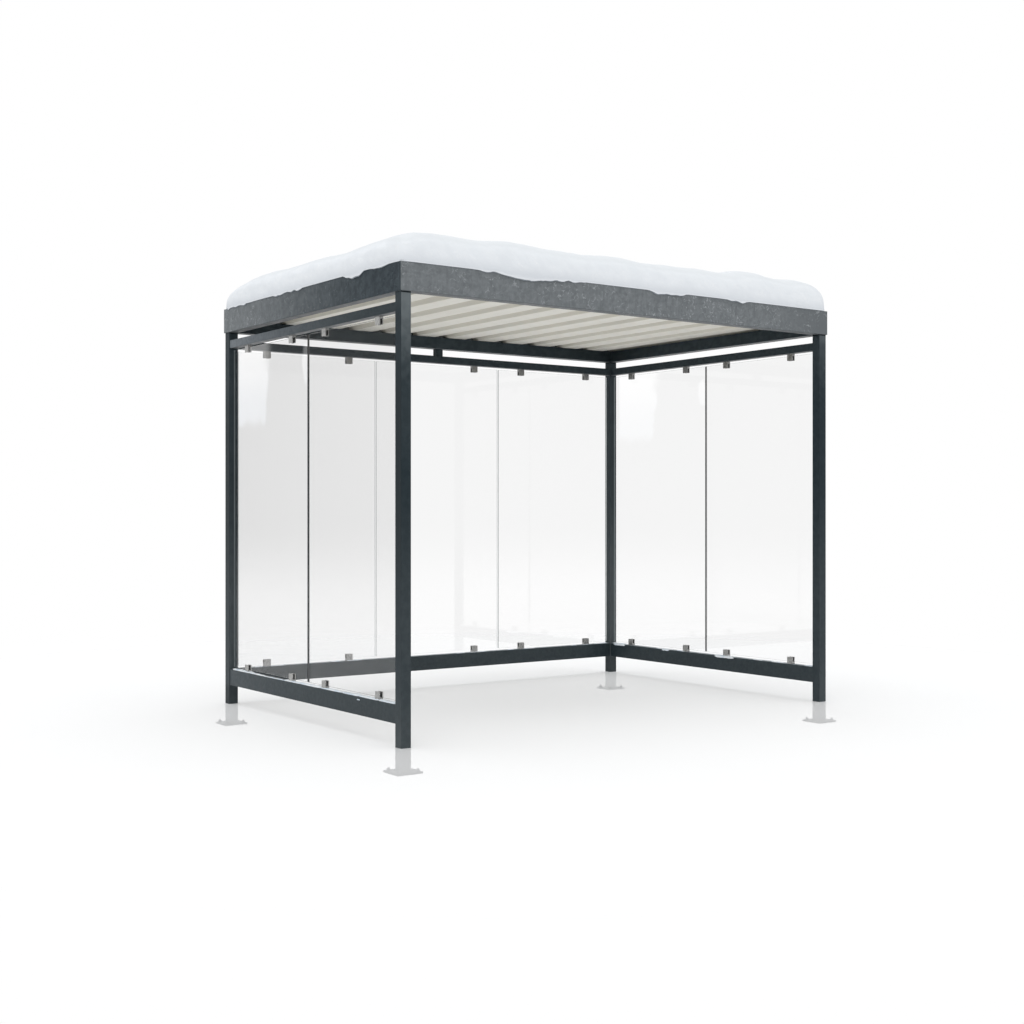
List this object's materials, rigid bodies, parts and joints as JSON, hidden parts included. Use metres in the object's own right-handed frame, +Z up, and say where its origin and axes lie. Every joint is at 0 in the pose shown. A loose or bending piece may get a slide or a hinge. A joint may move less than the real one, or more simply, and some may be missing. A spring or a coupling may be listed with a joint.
{
  "type": "smoking shelter",
  "caption": "Open-fronted smoking shelter: square-tube steel frame, clamped glass walls on three sides, flat ribbed roof behind a folded fascia, with snow on top.",
  "frame": {"origin": "middle of the plan, on the underside of the four base plates", "axes": "+X to the right along the open front as a person facing the shelter from outside sees it, +Y from the open front to the back wall, +Z up; finished ground is at z = 0.130 m"},
  "size_m": [3.26, 2.25, 2.848],
  "materials": {
    "frame_paint": "dark blue-grey stove enamel, half matt, thinly mottled by the zinc below it",
    "foot_steel": "dark blue-grey paint over zinc, half matt",
    "wall_glass": "clear toughened glass with polished edges",
    "clamp_steel": "ground stainless steel, satin",
    "clamp_rubber": "matt black",
    "fascia_zinc": "grey weathered zinc sheet with a fine spangle and light scuffs",
    "roof_sheet": "grey-white coil coating, matt",
    "snow": "dry settled snow, matt, soft"
  },
  "bodies": {
    "root": {"front_left_post": "frame_paint", "front_right_post": "frame_paint", "back_left_post": "frame_paint", "back_right_post": "frame_paint", "front_left_base_plate": "foot_steel", "front_right_base_plate": "foot_steel", "back_left_base_plate": "foot_steel", "back_right_base_plate": "foot_steel", "left_lower_rail": "frame_paint", "back_lower_rail": "frame_paint", "right_lower_rail": "frame_paint", "left_upper_rail": "frame_paint", "back_upper_rail": "frame_paint", "right_upper_rail": "frame_paint", "back_rail_stub": "frame_paint", "left_glass_front": "wall_glass", "left_glass_back": "wall_glass", "right_glass_front": "wall_glass", "right_glass_back": "wall_glass", "back_glass_left": "wall_glass", "back_glass_middle": "wall_glass", "back_glass_right": "wall_glass", "left_clamps": "clamp_steel", "back_clamps": "clamp_steel", "right_clamps": "clamp_steel", "left_clamp_covers": "clamp_steel", "back_clamp_covers": "clamp_steel", "right_clamp_covers": "clamp_steel", "left_clamp_pads": "clamp_rubber", "back_clamp_pads": "clamp_rubber", "right_clamp_pads": "clamp_rubber", "front_roof_beam": "frame_paint", "back_roof_beam": "frame_paint", "left_roof_beam": "frame_paint", "right_roof_beam": "frame_paint", "front_fascia": "fascia_zinc", "back_fascia": "fascia_zinc", "left_fascia": "fascia_zinc", "right_fascia": "fascia_zinc", "roof_sheet": "roof_sheet", "roof_snow": "snow"}
  },
  "joints": []
}
